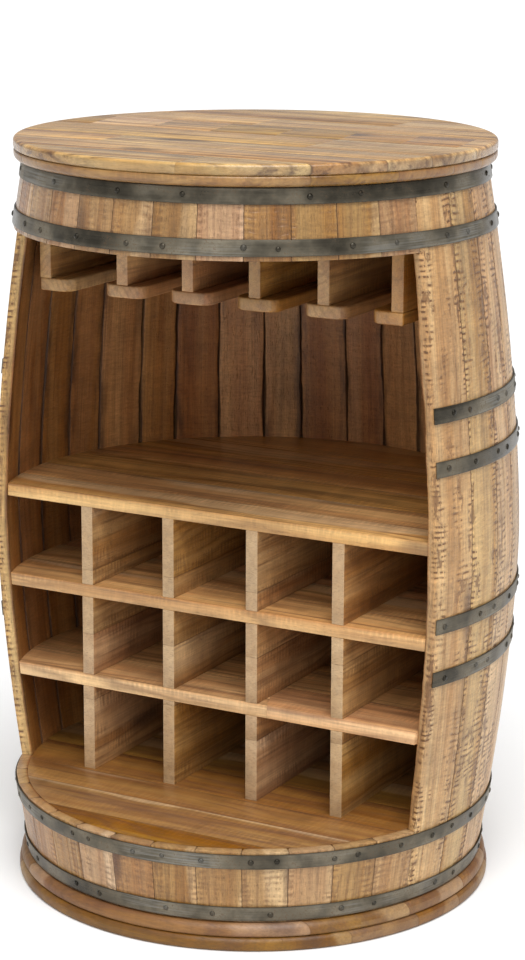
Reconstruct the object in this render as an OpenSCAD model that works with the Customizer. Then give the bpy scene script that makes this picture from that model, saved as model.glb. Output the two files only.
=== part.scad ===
// Barrel wine rack: a coopered barrel on a round plinth, open at the front.
// A round table top closes it, a counter shelf and a bottle grid fill its
// lower half, and six rails under its top hold stemmed glasses by the foot.
// Millimetres, +Z up. The origin is on the ground, on the barrel's axis, and
// the opening faces -Y.

/* [Barrel wall] */
// Overall height, from the ground to the table top
total_h = 1000; // [980:5:1020]
// Outer radius of the wall at the belly
belly_r = 354; // [345:1:362]
// Height of the belly above the ground
belly_z = 478; // [460:1:500]
// How far the wall draws in at half a metre from the belly
draw_in = 54; // [40:1:60]
// Thickness of every stave
stave_t = 15; // [12:0.5:17]
// Number of full-height staves
full_staves = 21; // [18:1:21]
// How much stave widths vary, as a part of the mean width
stave_vary = 0.13; // [0:0.01:0.2]

/* [Opening] */
// Half of the angle that the opening takes out of the wall
opening_half = 68.5; // [60:0.5:72]
// Number of short staves above and below the opening
short_staves = 13; // [9:1:15]
// Height of the short staves' lower ends above the opening
band_drop = 116; // [100:1:125]

/* [Hoops] */
// Width of a hoop
hoop_w = 20; // [16:1:24]
// Thickness of a hoop
hoop_t = 2; // [1.5:0.5:3]
// Radius of a nail head
nail_r = 3.6; // [3:0.1:5]
// Height of a nail head
nail_h = 1.8; // [1:0.1:2.5]
// Mean distance between nails along a hoop
nail_pitch = 52; // [40:1:80]

/* [Table top] */
// Radius of the table top
top_r = 313.5; // [308:0.5:320]
// Thickness of the table top's upper board
top_t = 14.5; // [12:0.5:18]
// Thickness of the moulding under it
moulding_t = 13.5; // [11:0.5:14]

/* [Plinth] */
// Radius of the plinth's lower board
plinth_r = 322; // [316:1:330]
// Thickness of the plinth's lower board
plinth_low_t = 18; // [16:1:22]
// Thickness of the plinth's upper board
plinth_high_t = 18; // [18:1:22]

/* [Shelves and grid] */
// Thickness of every inner board
board_t = 17; // [14:0.5:18]
// Height of the floor's upper face
floor_z = 136; // [130:1:142]
// Height of the lower bottle shelf's upper face
lower_shelf_z = 271; // [265:1:275]
// Height of the upper bottle shelf's upper face
upper_shelf_z = 397; // [390:1:400]
// Height of the counter shelf's upper face
counter_z = 522; // [515:1:530]
// Distance from the axis to the front edge of the grid
grid_front = 121; // [100:1:130]
// Distance from one divider to the next
bay_pitch = 126; // [115:1:127]
// Number of dividers
dividers = 4; // [2:1:4]

/* [Glass rails] */
// Number of rails
rails = 6; // [6:1:6]
// Distance between the inner rails' webs
rail_pitch = 99; // [95:1:101]
// Distance from the axis to the right end rail's web
right_rail_x = 252; // [246:1:260]
// Distance from the axis to the left end rail's web
left_rail_x = 268; // [246:1:270]
// Width of an inner rail's flange
flange_w = 62; // [50:1:64]
// Width of an end rail's flange
end_flange_w = 47; // [40:1:50]
// Radius of a flange's front corners
flange_corner = 18; // [5:1:20]
// Radius of an end flange's outer front corner
end_corner = 3; // [2:1:20]
// Distance from the axis to the rails' front ends
rail_front = 92; // [80:1:105]
// Height of the flanges' lower faces
rail_z = 786; // [775:1:800]

/* [Hidden] */
$fn = 180;

// Clearances: between neighbouring staves, under a hoop, and round a board.
stave_gap_deg = 0.05;
hoop_gap = 0.2;
board_gap = 0.5;
lap_gap = 0.3;

// The wall's bow, as a power of the height above or below the belly.
bow_power = 1.6;
bow_reach = 500;
wall_rows = 20;

front_deg = 270;
wall_low = plinth_low_t + plinth_high_t;
wall_high = total_h - top_t - moulding_t;
band_low = total_h - band_drop;
first_deg = front_deg + opening_half;
full_deg = 360 - 2 * opening_half;
short_deg = 2 * opening_half / short_staves;

// A hoop on the open part of the barrel stops short of the opening.
hoop_end_deg = 0.6;
hoop_z = [
    total_h - 39, total_h - 100, 683.5, 616.5,
    415, 345, 123, wall_low + 2 + hoop_w / 2,
];
hoop_full = [true, true, false, false, false, false, true, true];

// Distance between the nails of each hoop, in mean nail distances.
nail_share = [2.17, 1.35, 1, 1, 1, 1, 1, 1.47];

lap_y = 70;
rail_back = 285;
grid_width = 800;
moulding_in = 0.5;
plinth_step = 3;

// ---------------------------------------------------------------- curves

// Outer radius of the wall at height z.
function wall_r(z) =
    belly_r - draw_in * pow(abs(z - belly_z) / bow_reach, bow_power);

// Inner radius of the wall at height z.
function inner_r(z) = wall_r(z) - stave_t;

// Heights that divide z0 to z1 into wall rows of about equal height.
function rows(z0, z1) =
    let (n = max(1, ceil(wall_rows * (z1 - z0) / (wall_high - wall_low))))
    [for (k = [0:n]) z0 + (z1 - z0) * k / n];

// Points of a quarter round of radius r about (x, z), from angle a0 on.
function quarter(x, z, r, a0) =
    [for (k = [0:6]) [x + r * cos(a0 + 15 * k), z + r * sin(a0 + 15 * k)]];

// Share of the wall's arc that each full-height stave takes.
stave_share = [for (i = [0:full_staves - 1])
    1 + stave_vary * sin(137.5 * i + 40)];

function total(v, i = 0) = i < len(v) ? v[i] + total(v, i + 1) : 0;

// Angle where full-height stave i starts.
function stave_start(i) = first_deg + full_deg
    * total([for (k = [0:1:i - 1]) stave_share[k]]) / total(stave_share);

// Angle of nail k on a hoop: even steps, each moved a little.
function nail_deg(a0, step, k, hoop) =
    a0 + step * (k + 0.5 + 0.22 * sin(151 * k + 67 * hoop));

// ---------------------------------------------------------------- shapes

// A sector of the barrel's wall, from z0 to z1 and from angle a0 to a1.
module wall_sector(z0, z1, a0, a1) {
    levels = rows(z0, z1);
    outer = [for (z = levels) [wall_r(z), z]];
    inner = [for (k = [len(levels) - 1:-1:0])
        [inner_r(levels[k]), levels[k]]];
    rotate_extrude(angle = a1 - a0 - stave_gap_deg, start = a0)
        polygon(concat(outer, inner));
}

// The space inside the wall between two heights, less the clearance.
module inner_space(z0, z1) {
    rotate_extrude()
        polygon(concat(
            [[0, z0]],
            [for (z = rows(z0, z1)) [inner_r(z) - board_gap, z]],
            [[0, z1]]));
}

// A disc whose edge is rounded by one radius below and another above.
module lipped_disc(r, z0, z1, round_low, round_high) {
    rotate_extrude()
        polygon(concat(
            [[0, z0]],
            quarter(r - round_low, z0 + round_low, round_low, -90),
            quarter(r - round_high, z1 - round_high, round_high, 0),
            [[0, z1]]));
}

// A flat iron band that follows the slope of the wall.
module band(z, a0, a1) {
    low = z - hoop_w / 2;
    high = z + hoop_w / 2;
    r_low = wall_r(low) + hoop_gap;
    r_high = wall_r(high) + hoop_gap;
    rotate_extrude(angle = a1 - a0, start = a0)
        polygon([
            [r_low, low], [r_low + hoop_t, low],
            [r_high + hoop_t, high], [r_high, high],
        ]);
}

// The domed head of one nail, standing on its flat face.
module nail_head() {
    dome_r = (nail_r * nail_r + nail_h * nail_h) / (2 * nail_h);
    intersection() {
        translate([0, 0, nail_h - dome_r])
            sphere(r = dome_r, $fn = 48);
        translate([-nail_r, -nail_r, 0])
            cube([2 * nail_r, 2 * nail_r, nail_h]);
    }
}

// A row of nail heads along hoop i, each square to the band.
module nail_row(i) {
    z = hoop_z[i];
    span = hoop_full[i] ? 360 : full_deg - 2 * hoop_end_deg;
    a0 = hoop_full[i] ? first_deg : first_deg + hoop_end_deg;
    count = round(span / 180 * PI * wall_r(z) / nail_pitch / nail_share[i]);
    r = wall_r(z) + hoop_gap + hoop_t + 0.08;
    tilt = atan((wall_r(z - 1) - wall_r(z + 1)) / 2);
    for (k = [0:count - 1])
        rotate([0, 0, nail_deg(a0, span / count, k, i)])
            translate([r, 0, z])
                rotate([0, 90 - tilt, 0])
                    nail_head();
}

// A rectangle whose front corners are rounded by left_r and right_r, extruded upwards.
module round_front_board(x0, x1, y0, y1, z0, z1, left_r, right_r) {
    half = (x1 - x0) / 2;
    translate([0, 0, z0])
        linear_extrude(z1 - z0)
            union() {
                translate([x0, y0 + left_r])
                    square([half, y1 - y0 - left_r]);
                translate([x0 + half, y0 + right_r])
                    square([half, y1 - y0 - right_r]);
                translate([x0 + left_r, y0])
                    square([x1 - x0 - left_r - right_r, y1 - y0]);
                translate([x0 + left_r, y0 + left_r])
                    circle(left_r);
                translate([x1 - right_r, y0 + right_r])
                    circle(right_r);
            }
}

// ---------------------------------------------------------------- wall

// One full-height stave at the sides or the back.
module full_stave(i) {
    color(i % 3 == 0 ? "peru" : i % 3 == 1 ? "burlywood" : "tan")
        wall_sector(wall_low, wall_high, stave_start(i), stave_start(i + 1));
}

// The short staves at the front, between two heights.
module front_staves(z0, z1) {
    a0 = front_deg - opening_half;
    for (i = [0:short_staves - 1])
        wall_sector(z0, z1, a0 + i * short_deg, a0 + (i + 1) * short_deg);
}

module upper_front_staves() {
    color("peru")
        front_staves(band_low, wall_high);
}

module lower_front_staves() {
    color("peru")
        front_staves(wall_low, floor_z);
}

// Hoop i: right round the barrel, or round its closed part only.
module hoop(i) {
    a0 = hoop_full[i] ? 0 : first_deg + hoop_end_deg;
    a1 = hoop_full[i] ? 360 : first_deg + full_deg - hoop_end_deg;
    color("dimgray")
        band(hoop_z[i], a0, a1);
}

module nails(full) {
    color("gray")
        for (i = [0:len(hoop_z) - 1])
            if (hoop_full[i] == full)
                nail_row(i);
}

// ---------------------------------------------------------------- boards

module table_top() {
    color("burlywood")
        lipped_disc(top_r, total_h - top_t, total_h, 4, 5);
}

module table_moulding() {
    color("sandybrown")
        lipped_disc(top_r - moulding_in, wall_high, total_h - top_t, 7, 3);
}

module plinth_upper() {
    color("sandybrown")
        lipped_disc(plinth_r - plinth_step, plinth_low_t, wall_low, 4, 12);
}

module plinth_base() {
    color("peru")
        lipped_disc(plinth_r, 0, plinth_low_t, 5, 8);
}

// Board under the top that the glass rails hang from.
module ceiling_board() {
    color("sienna")
        inner_space(band_low, band_low + board_t);
}

module floor_board() {
    color("burlywood")
        inner_space(floor_z - board_t, floor_z);
}

// A shelf with a straight front edge that fills the barrel behind it.
module shelf(z) {
    intersection() {
        inner_space(z - board_t, z);
        translate([-grid_width / 2, -grid_front, z - board_t - 1])
            cube([grid_width, grid_width, board_t + 2]);
    }
}

// Middle of divider i, measured across the barrel.
function divider_x(i) = (i - (dividers - 1) / 2) * bay_pitch;

// A bottle shelf, slotted from the back to lap over the dividers.
module bottle_shelf(z) {
    color("chocolate")
        difference() {
            shelf(z);
            for (i = [0:dividers - 1])
                translate([divider_x(i) - board_t / 2 - lap_gap, lap_y,
                    z - board_t - 1])
                    cube([board_t + 2 * lap_gap, grid_width, board_t + 2]);
        }
}

module counter_shelf() {
    color("burlywood")
        shelf(counter_z);
}

// An upright board from front to back, slotted from the front.
module divider(i) {
    high = counter_z - board_t;
    color("peru")
        difference() {
            intersection() {
                inner_space(floor_z, high);
                translate([divider_x(i) - board_t / 2, -grid_front, 0])
                    cube([board_t, grid_width, total_h]);
            }
            for (z = [lower_shelf_z, upper_shelf_z])
                translate([divider_x(i) - board_t, -grid_front - 1,
                    z - board_t - lap_gap])
                    cube([2 * board_t, grid_front + 1 + lap_y + lap_gap,
                        board_t + 2 * lap_gap]);
        }
}

// ---------------------------------------------------------------- rails

// Middle of rail i's web, measured across the barrel.
function rail_x(i) = i == 0 ? -left_rail_x
    : i == rails - 1 ? right_rail_x
    : (i - (rails - 1) / 2) * rail_pitch;

// The upright board of rail i, under the ceiling board.
module rail_web(i) {
    x0 = rail_x(i) - board_t / 2;
    z0 = rail_z + board_t;
    color("sienna")
        intersection() {
            inner_space(z0, band_low);
            translate([x0, -rail_front, z0])
                cube([board_t, rail_front + rail_back, band_low - z0]);
        }
}

// The flat board of rail i, which carries the foot of a glass. An end
// rail's flange reaches inwards only.
module rail_flange(i) {
    x = rail_x(i);
    x0 = i == 0 ? x - board_t / 2
        : i == rails - 1 ? x + board_t / 2 - end_flange_w
        : x - flange_w / 2;
    x1 = i == 0 ? x0 + end_flange_w
        : i == rails - 1 ? x + board_t / 2
        : x + flange_w / 2;
    color("peru")
        intersection() {
            inner_space(rail_z, rail_z + board_t);
            round_front_board(x0, x1, -rail_front, rail_back,
                rail_z, rail_z + board_t,
                i == 0 ? end_corner : flange_corner,
                i == rails - 1 ? end_corner : flange_corner);
        }
}

// ---------------------------------------------------------------- nodes

full_stave(0);  // stave_01
full_stave(1);  // stave_02
full_stave(2);  // stave_03
full_stave(3);  // stave_04
full_stave(4);  // stave_05
full_stave(5);  // stave_06
full_stave(6);  // stave_07
full_stave(7);  // stave_08
full_stave(8);  // stave_09
full_stave(9);  // stave_10
full_stave(10);  // stave_11
full_stave(11);  // stave_12
full_stave(12);  // stave_13
full_stave(13);  // stave_14
full_stave(14);  // stave_15
full_stave(15);  // stave_16
full_stave(16);  // stave_17
full_stave(17);  // stave_18
full_stave(18);  // stave_19
full_stave(19);  // stave_20
full_stave(20);  // stave_21
upper_front_staves();
lower_front_staves();
hoop(0);  // hoop_1
hoop(1);  // hoop_2
hoop(2);  // hoop_3
hoop(3);  // hoop_4
hoop(4);  // hoop_5
hoop(5);  // hoop_6
hoop(6);  // hoop_7
hoop(7);  // hoop_8
nails(true);  // nails_full_hoops
nails(false);  // nails_side_hoops
table_top();
table_moulding();
ceiling_board();
floor_board();
plinth_upper();
plinth_base();
counter_shelf();
bottle_shelf(upper_shelf_z);  // upper_bottle_shelf
bottle_shelf(lower_shelf_z);  // lower_bottle_shelf
divider(0);  // divider_1
divider(1);  // divider_2
divider(2);  // divider_3
divider(3);  // divider_4
rail_web(0);  // rail_web_1
rail_web(1);  // rail_web_2
rail_web(2);  // rail_web_3
rail_web(3);  // rail_web_4
rail_web(4);  // rail_web_5
rail_web(5);  // rail_web_6
rail_flange(0);  // rail_flange_1
rail_flange(1);  // rail_flange_2
rail_flange(2);  // rail_flange_3
rail_flange(3);  // rail_flange_4
rail_flange(4);  // rail_flange_5
rail_flange(5);  // rail_flange_6
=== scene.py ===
"""Barrel wine rack: planks, staves, iron hoops and nails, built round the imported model."""
import math
import random

import bmesh
import bpy
from bpy.props import FloatProperty, FloatVectorProperty, PointerProperty
from mathutils import Matrix, Vector


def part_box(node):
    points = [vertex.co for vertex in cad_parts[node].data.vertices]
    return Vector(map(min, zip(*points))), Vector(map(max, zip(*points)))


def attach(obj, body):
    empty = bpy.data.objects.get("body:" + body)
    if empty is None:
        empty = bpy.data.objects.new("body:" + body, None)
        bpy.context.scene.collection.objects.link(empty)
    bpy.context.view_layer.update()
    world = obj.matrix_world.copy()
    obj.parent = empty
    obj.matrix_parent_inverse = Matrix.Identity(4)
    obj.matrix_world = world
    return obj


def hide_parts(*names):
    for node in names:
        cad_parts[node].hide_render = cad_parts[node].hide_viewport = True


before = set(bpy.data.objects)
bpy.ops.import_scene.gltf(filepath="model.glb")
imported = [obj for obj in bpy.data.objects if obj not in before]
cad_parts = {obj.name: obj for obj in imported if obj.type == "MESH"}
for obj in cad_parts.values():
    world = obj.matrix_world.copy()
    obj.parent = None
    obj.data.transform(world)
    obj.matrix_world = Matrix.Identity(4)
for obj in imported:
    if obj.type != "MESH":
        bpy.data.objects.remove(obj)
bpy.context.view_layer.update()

bl_info = {
    "name": "Barrel wine rack",
    "version": (1, 0, 0),
    "blender": (4, 5, 0),
    "location": "View3D > Sidebar > Wine Rack",
    "description": "Builds the staves, hoops, nails and planked boards of a barrel wine rack",
    "category": "Object",
}

MM = 0.001

# ------------------------------------------------------------------ sizes
# Metres and radians. Angles round the barrel start at +X.

FULL_STAVES = 21
SHORT_STAVES = 13
STAVE_GAP = math.radians(0.004)
STAVE_COLUMNS = 10
STAVE_ROW = 0.006  # height of one row of faces
STAVE_FLATNESS = 0.0006
STAVE_WAVE = 0.0006
STAVE_ARRIS = 0.0009
CLEAN_EDGE = 0.005  # keeps joint dirt off the two staves beside the opening
FREE_SIDE = 0.022  # keeps it off a board's own edges
WHOLE = 10  # side of a strip that is as wide as its board
HOOP_END = math.radians(0.6)
HOOP_GAP = 0.0002
HOOP_COLUMN = math.radians(1)
HOOP_WAVE = 0.0003
HOOP_ARRIS = 0.0004
NO_LAP = 9.0  # an angle that no nail reaches
BOW_REACH = 0.5
FULL_HOOPS = (0, 1, 6, 7)
NAIL_PITCH = 0.052
NAIL_SHARE = (2.17, 1.35, 1, 1, 1, 1, 1, 1.47)  # how far each hoop widens that pitch
LAP_START = math.radians(96)
LAP_ANGLE = math.radians(9)
FRONT = math.radians(270)  # the middle of the opening
SHARP_EDGE = math.radians(42)
FINE_ARRIS, WORN_ARRIS, DIVIDER_ARRIS, FLANGE_ARRIS = 0.0005, 0.0012, 0.0014, 0.0022
BOARD_ARRIS = 0.0007
BOARD_TURN = 0.03  # slope of the grain in a board without strips

CAMERA_LENS = 100.69
CAMERA_SHIFT = (0.0084, 0.0220)
CAMERA_PITCH = math.radians(14.24)
CAMERA_ROLL = math.radians(0.198)
FLOOR_REACH = 60.0
# Each light's name, the angle it spreads over, and the direction it comes from.
SUNS = (("key", 40, (0.42, -0.50, 1.3)), ("front", 45, (0.42, -1.0, 0.95)),
        ("fill", 80, (0.40, -1.0, 0.30)))

X, Y, Z = Vector((1, 0, 0)), Vector((0, 1, 0)), Vector((0, 0, 1))


def length(label, text, default, low, high):
    """A length in metres with its limits."""
    return FloatProperty(name=label, description=text, default=default, min=low, max=high,
                         unit="LENGTH")


def tint(label, text, default):
    """A colour."""
    return FloatVectorProperty(name=label, description=text, default=default, min=0.0, max=1.0,
                               subtype="COLOR")


def strength(label, text, default):
    """The strength of a light."""
    return FloatProperty(name=label, description=text, default=default, min=0.0, max=20.0)


class RackBarrel(bpy.types.PropertyGroup):
    """Sizes of the barrel's wall."""
    belly_radius: length("Belly radius", "Outer radius of the wall at its widest", 0.354, 0.3, 0.4)
    belly_height: length("Belly height", "Height of the widest part above the ground",
                         0.478, 0.4, 0.6)
    draw_in: length("Draw-in", "How far the wall draws in at half a metre from the belly",
                    0.054, 0.02, 0.1)
    bow_power: FloatProperty(
        name="Bow power", description="How sharply the wall bows", default=1.6, min=1.0, max=3.0)
    stave_thickness: length("Stave thickness", "Thickness of every stave", 0.015, 0.008, 0.03)
    opening_half: FloatProperty(
        name="Half opening", description="Half of the angle of the front opening",
        default=math.radians(68.5), min=0.5, max=1.4, subtype="ANGLE")
    stave_variation: FloatProperty(
        name="Stave variation", description="How much stave widths vary",
        default=0.13, min=0.0, max=0.3)
    edge_wave: length("Inner gaps", "Widest ragged gap between staves on the inside",
                      0.0032, 0.0, 0.006)


class RackIron(bpy.types.PropertyGroup):
    """Sizes of the hoops and nails."""
    hoop_thickness: length("Hoop thickness", "Thickness of a hoop", 0.002, 0.001, 0.004)
    nail_radius: length("Nail radius", "Radius of a nail head", 0.0036, 0.002, 0.006)
    nail_height: length("Nail height", "Height of a nail head", 0.0018, 0.001, 0.003)


class RackColours(bpy.types.PropertyGroup):
    """Colours of the wood and the iron."""
    honey: tint("Honey", "Pale wood of the staves and boards", (0.62, 0.425, 0.215))
    tan: tint("Tan", "Middle tone of the wood", (0.42, 0.245, 0.098))
    umber: tint("Umber", "Dark lines of the wood", (0.145, 0.062, 0.020))
    sapwood: tint("Sapwood", "Cream edge of some boards", (0.72, 0.52, 0.30))
    iron: tint("Iron", "Iron of the hoops", (0.132, 0.114, 0.082))


class RackStage(bpy.types.PropertyGroup):
    """Light, floor and camera."""
    floor_colour: tint("Floor colour", "Colour of the floor", (0.9, 0.9, 0.9))
    sky_strength: strength("Room light", "Strength of the even light of the room", 0.44)
    key_strength: strength("Key light", "Strength of the soft light from above", 2.4)
    front_strength: strength("Front light", "Strength of the soft light from the front", 0.80)
    fill_strength: strength("Fill light", "Strength of the low light that reaches inside", 0.22)
    camera_angle: FloatProperty(
        name="Camera angle", description="Angle of the camera round the rack, from the front",
        default=math.radians(28.92), subtype="ANGLE")
    camera_distance: length("Camera distance", "Level distance from the rack's axis",
                            3.4865, 1.0, 10.0)
    camera_height: length("Camera height", "Height of the camera above the ground",
                          1.3947, 0.1, 4.0)


# ------------------------------------------------------------------ nodes

class Bench:
    """Adds nodes to one tree and joins them."""

    def __init__(self, tree):
        self.tree = tree

    def add(self, kind, feeds=(), **settings):
        node = self.tree.nodes.new(kind)
        for name, value in settings.items():
            setattr(node, name, value)
        for key, value in dict(feeds).items():
            self.feed(node.inputs[key], value)
        return node

    def feed(self, socket, value):
        if isinstance(value, bpy.types.NodeSocket):
            self.tree.links.new(value, socket)
        else:
            socket.default_value = value

    def sum(self, operation, *values, clamp=False):
        return self.add("ShaderNodeMath", enumerate(values),
                        operation=operation, use_clamp=clamp).outputs[0]

    def plus(self, first, second):
        return self.sum("ADD", first, second)

    def minus(self, first, second):
        return self.sum("SUBTRACT", first, second)

    def times(self, first, second):
        return self.sum("MULTIPLY", first, second)

    def vector(self, operation, *values):
        return self.add("ShaderNodeVectorMath", enumerate(values),
                        operation=operation).outputs["Vector"]

    def scaled(self, vector, amount):
        return self.add("ShaderNodeVectorMath", {"Vector": vector, "Scale": amount},
                        operation="SCALE").outputs["Vector"]

    def parts(self, vector):
        return self.add("ShaderNodeSeparateXYZ", {0: vector}).outputs

    def joined(self, x, y, z):
        return self.add("ShaderNodeCombineXYZ", {0: x, 1: y, 2: z}).outputs[0]

    def eased(self, value, low, high, out_low=0.0, out_high=1.0):
        return self.add("ShaderNodeMapRange",
                        {"Value": value, "From Min": low, "From Max": high,
                         "To Min": out_low, "To Max": out_high},
                        interpolation_type="SMOOTHSTEP").outputs[0]

    def noise(self, vector, detail=2.0, roughness=0.5, colour=False):
        node = self.add("ShaderNodeTexNoise",
                        {"Vector": vector, "Scale": 1.0, "Detail": detail,
                         "Roughness": roughness})
        return node.outputs[1 if colour else 0]

    def mixed(self, amount, first, second, blend="MIX"):
        node = self.add("ShaderNodeMix", {0: amount, 6: first, 7: second},
                        data_type="RGBA", blend_type=blend)
        return node.outputs[2]

    def stored(self, mesh, **values):
        """The geometry with each value stored on its points under its name."""
        for name, value in values.items():
            store = self.add("GeometryNodeStoreNamedAttribute", {"Geometry": mesh, "Name": name},
                             data_type="FLOAT_VECTOR", domain="POINT")
            self.feed(store.inputs["Value"], value)
            mesh = store.outputs[0]
        return mesh

    def attribute(self, name):
        return self.add("ShaderNodeAttribute", attribute_name=name,
                        attribute_type="GEOMETRY").outputs


SOCKET_OF = {float: "NodeSocketFloat", int: "NodeSocketInt", tuple: "NodeSocketColor",
             type(None): "NodeSocketMaterial"}


def new_group(name, kind, inputs, outputs):
    """An empty node group with its named sockets; an input's default says its kind."""
    tree = bpy.data.node_groups.new(name, kind)
    for label, default in inputs.items():
        socket = tree.interface.new_socket(label, in_out="INPUT",
                                           socket_type=SOCKET_OF[type(default)])
        if default is not None:
            socket.default_value = default
    for label in outputs:
        sort = label if label in ("Color", "Geometry") else "Float"
        tree.interface.new_socket(label, in_out="OUTPUT", socket_type="NodeSocket" + sort)
    bench = Bench(tree)
    return bench, bench.add("NodeGroupInput").outputs, bench.add("NodeGroupOutput").inputs


def linked(name, data):
    """A new object in the scene."""
    thing = bpy.data.objects.new(name, data)
    bpy.context.scene.collection.objects.link(thing)
    return thing


def applied_mesh(thing):
    """The mesh that an object's modifiers make; the object and its own mesh are removed."""
    graph = bpy.context.evaluated_depsgraph_get()
    done = bpy.data.meshes.new_from_object(thing.evaluated_get(graph))
    old = thing.data
    bpy.data.objects.remove(thing)
    bpy.data.meshes.remove(old)
    return done


# ------------------------------------------------------------------ finishes

KNOT = (0.060, 0.024, 0.012, 1)
JOINT_DIRT = (0.07, 0.03, 0.012, 1)
END_GRAIN = ((0.34, 0.215, 0.11, 1), (0.70, 0.51, 0.30, 1), (0.12, 0.075, 0.04, 1))
# Darker inside face of a board: painted shade plus the darker unfinished wood of the inside.
INSIDE_SHADE_AND_STAIN = ((0.62, 0.40, 0.26, 1), (0.98, 0.76, 0.54, 1))
# Colour of the darker patches near the sides of a board's inside face.
INSIDE_EDGE_DARK = (0.030, 0.015, 0.011, 1)
# Colour of the painted highlights on the iron.
PAINTED_HIGHLIGHT_IRON = (0.30, 0.30, 0.285, 1)
SOOTY_IRON = (0.045, 0.042, 0.036, 1)
SCORCH_GAIN = 1.05
COAT_ROUGHNESS = 0.25
RUST_AMOUNT = 0.35
NAIL_RUST = 0.3
NAIL_DARKNESS = 0.45


def rgba(colour, gain=1.0):
    return (colour[0] * gain, colour[1] * gain, colour[2] * gain, 1.0)


def build_wood_figure():
    """Grain of one board: bands, flame lines, streaks, sapwood and pores."""
    b, i, o = new_group(
        "wood_figure", "ShaderNodeTree",
        {"Pale": (0.6, 0.4, 0.2, 1), "Middle": (0.45, 0.27, 0.12, 1),
         "Dark": (0.2, 0.1, 0.04, 1), "Sap": (0.7, 0.5, 0.3, 1),
         "Lines": 0.5, "Streaks": 0.5, "Flame": 0.4, "Sapwood": 0.3, "Knots": 0.5,
         "Tone spread": 0.18, "Ring spacing": 0.014},
        ("Color", "Gloss", "Height"))
    grain = b.attribute("grain")["Vector"]
    seed, tone, half = b.parts(b.attribute("board")["Vector"])
    shift = b.joined(b.times(seed, 3.17), b.times(seed, 7.31), b.times(seed, 5.23))
    spot = b.vector("ADD", grain, shift)

    def stretched(along, across, detail=2.0, roughness=0.5, colour=False):
        return b.noise(b.vector("MULTIPLY", spot, (along, across, across)),
                       detail, roughness, colour)

    swirl = b.vector("SUBTRACT", stretched(2.6, 9.0, 2.0, 0.5, True), (0.5, 0.5, 0.5))
    bands = b.eased(stretched(1.6, 34.0, 3.0, 0.55), 0.32, 0.68)
    across = b.parts(grain)
    reach = b.plus(across[1], b.times(across[2], 0.7))
    ring = b.plus(b.sum("DIVIDE", reach, i["Ring spacing"]), b.times(b.parts(swirl)[0], 7.0))
    ring = b.plus(ring, b.times(stretched(6.0, 40.0), 1.1))
    wave = b.sum("SINE", b.times(ring, 2 * math.pi))
    lines = b.sum("POWER", b.sum("MULTIPLY_ADD", wave, 0.5, 0.5), 3.0)
    lines = b.times(lines, b.eased(stretched(3.0, 22.0), 0.35, 0.7))
    streaks = b.eased(stretched(2.4, 95.0, 3.0, 0.62), 0.50, 0.70)
    flame = b.eased(stretched(3.4, 30.0, 3.0, 0.6), 0.50, 0.74)
    fine = stretched(9.0, 420.0, 3.0, 0.6)
    pores = b.eased(stretched(120.0, 1700.0, 1.0), 0.62, 0.75)
    curl = stretched(48.0, 11.0, 2.0)
    blotch = stretched(5.0, 12.0, 2.0)
    cells = b.add("ShaderNodeTexVoronoi",
                  {"Vector": b.vector("ADD", b.vector("MULTIPLY", spot, (4.4, 13.0, 13.0)),
                                      b.scaled(swirl, 0.5)), "Scale": 1.0})
    knot = b.times(b.eased(cells.outputs["Distance"], 0.05, 0.25, 1.0, 0.0),
                   b.eased(b.parts(cells.outputs["Color"])[0], 0.56, 0.62))
    sap = b.plus(b.sum("DIVIDE", across[1], b.sum("MAXIMUM", half, 0.002)),
                 b.times(b.parts(swirl)[1], 4.2))
    sap = b.eased(b.plus(sap, b.sum("SINE", b.times(seed, 91.7))), 0.95, 1.25)
    colour = b.mixed(bands, i["Middle"], i["Pale"])
    for mask, amount, over in ((lines, "Lines", i["Dark"]), (streaks, "Streaks", i["Dark"]),
                               (flame, "Flame", i["Dark"]), (sap, "Sapwood", i["Sap"]),
                               (knot, "Knots", KNOT)):
        colour = b.mixed(b.times(mask, i[amount]), colour, over)
    light = b.plus(1.0, b.times(tone, i["Tone spread"]))
    for pattern, weight in ((curl, 0.55), (fine, 0.80), (blotch, 0.70)):
        light = b.plus(light, b.times(b.minus(pattern, 0.5), weight))
    light = b.minus(light, b.times(pores, 0.22))
    hue = b.sum("SINE", b.times(seed, 37.3))
    hue = b.plus(0.497, b.times(hue, 0.005))
    hue = b.plus(hue, b.times(b.minus(blotch, 0.5), 0.012))
    rich = b.minus(1.0, b.times(tone, 0.10))
    tinted = b.add("ShaderNodeHueSaturation",
                   {"Color": colour, "Hue": hue, "Saturation": rich, "Value": light})
    b.feed(o["Color"], tinted.outputs[0])
    b.feed(o["Gloss"], b.plus(b.times(fine, 0.55), b.times(lines, 0.45)))
    height = b.minus(b.times(fine, 0.5), b.times(pores, 0.6))
    b.feed(o["Height"], b.minus(height, b.times(lines, 0.25)))


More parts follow.
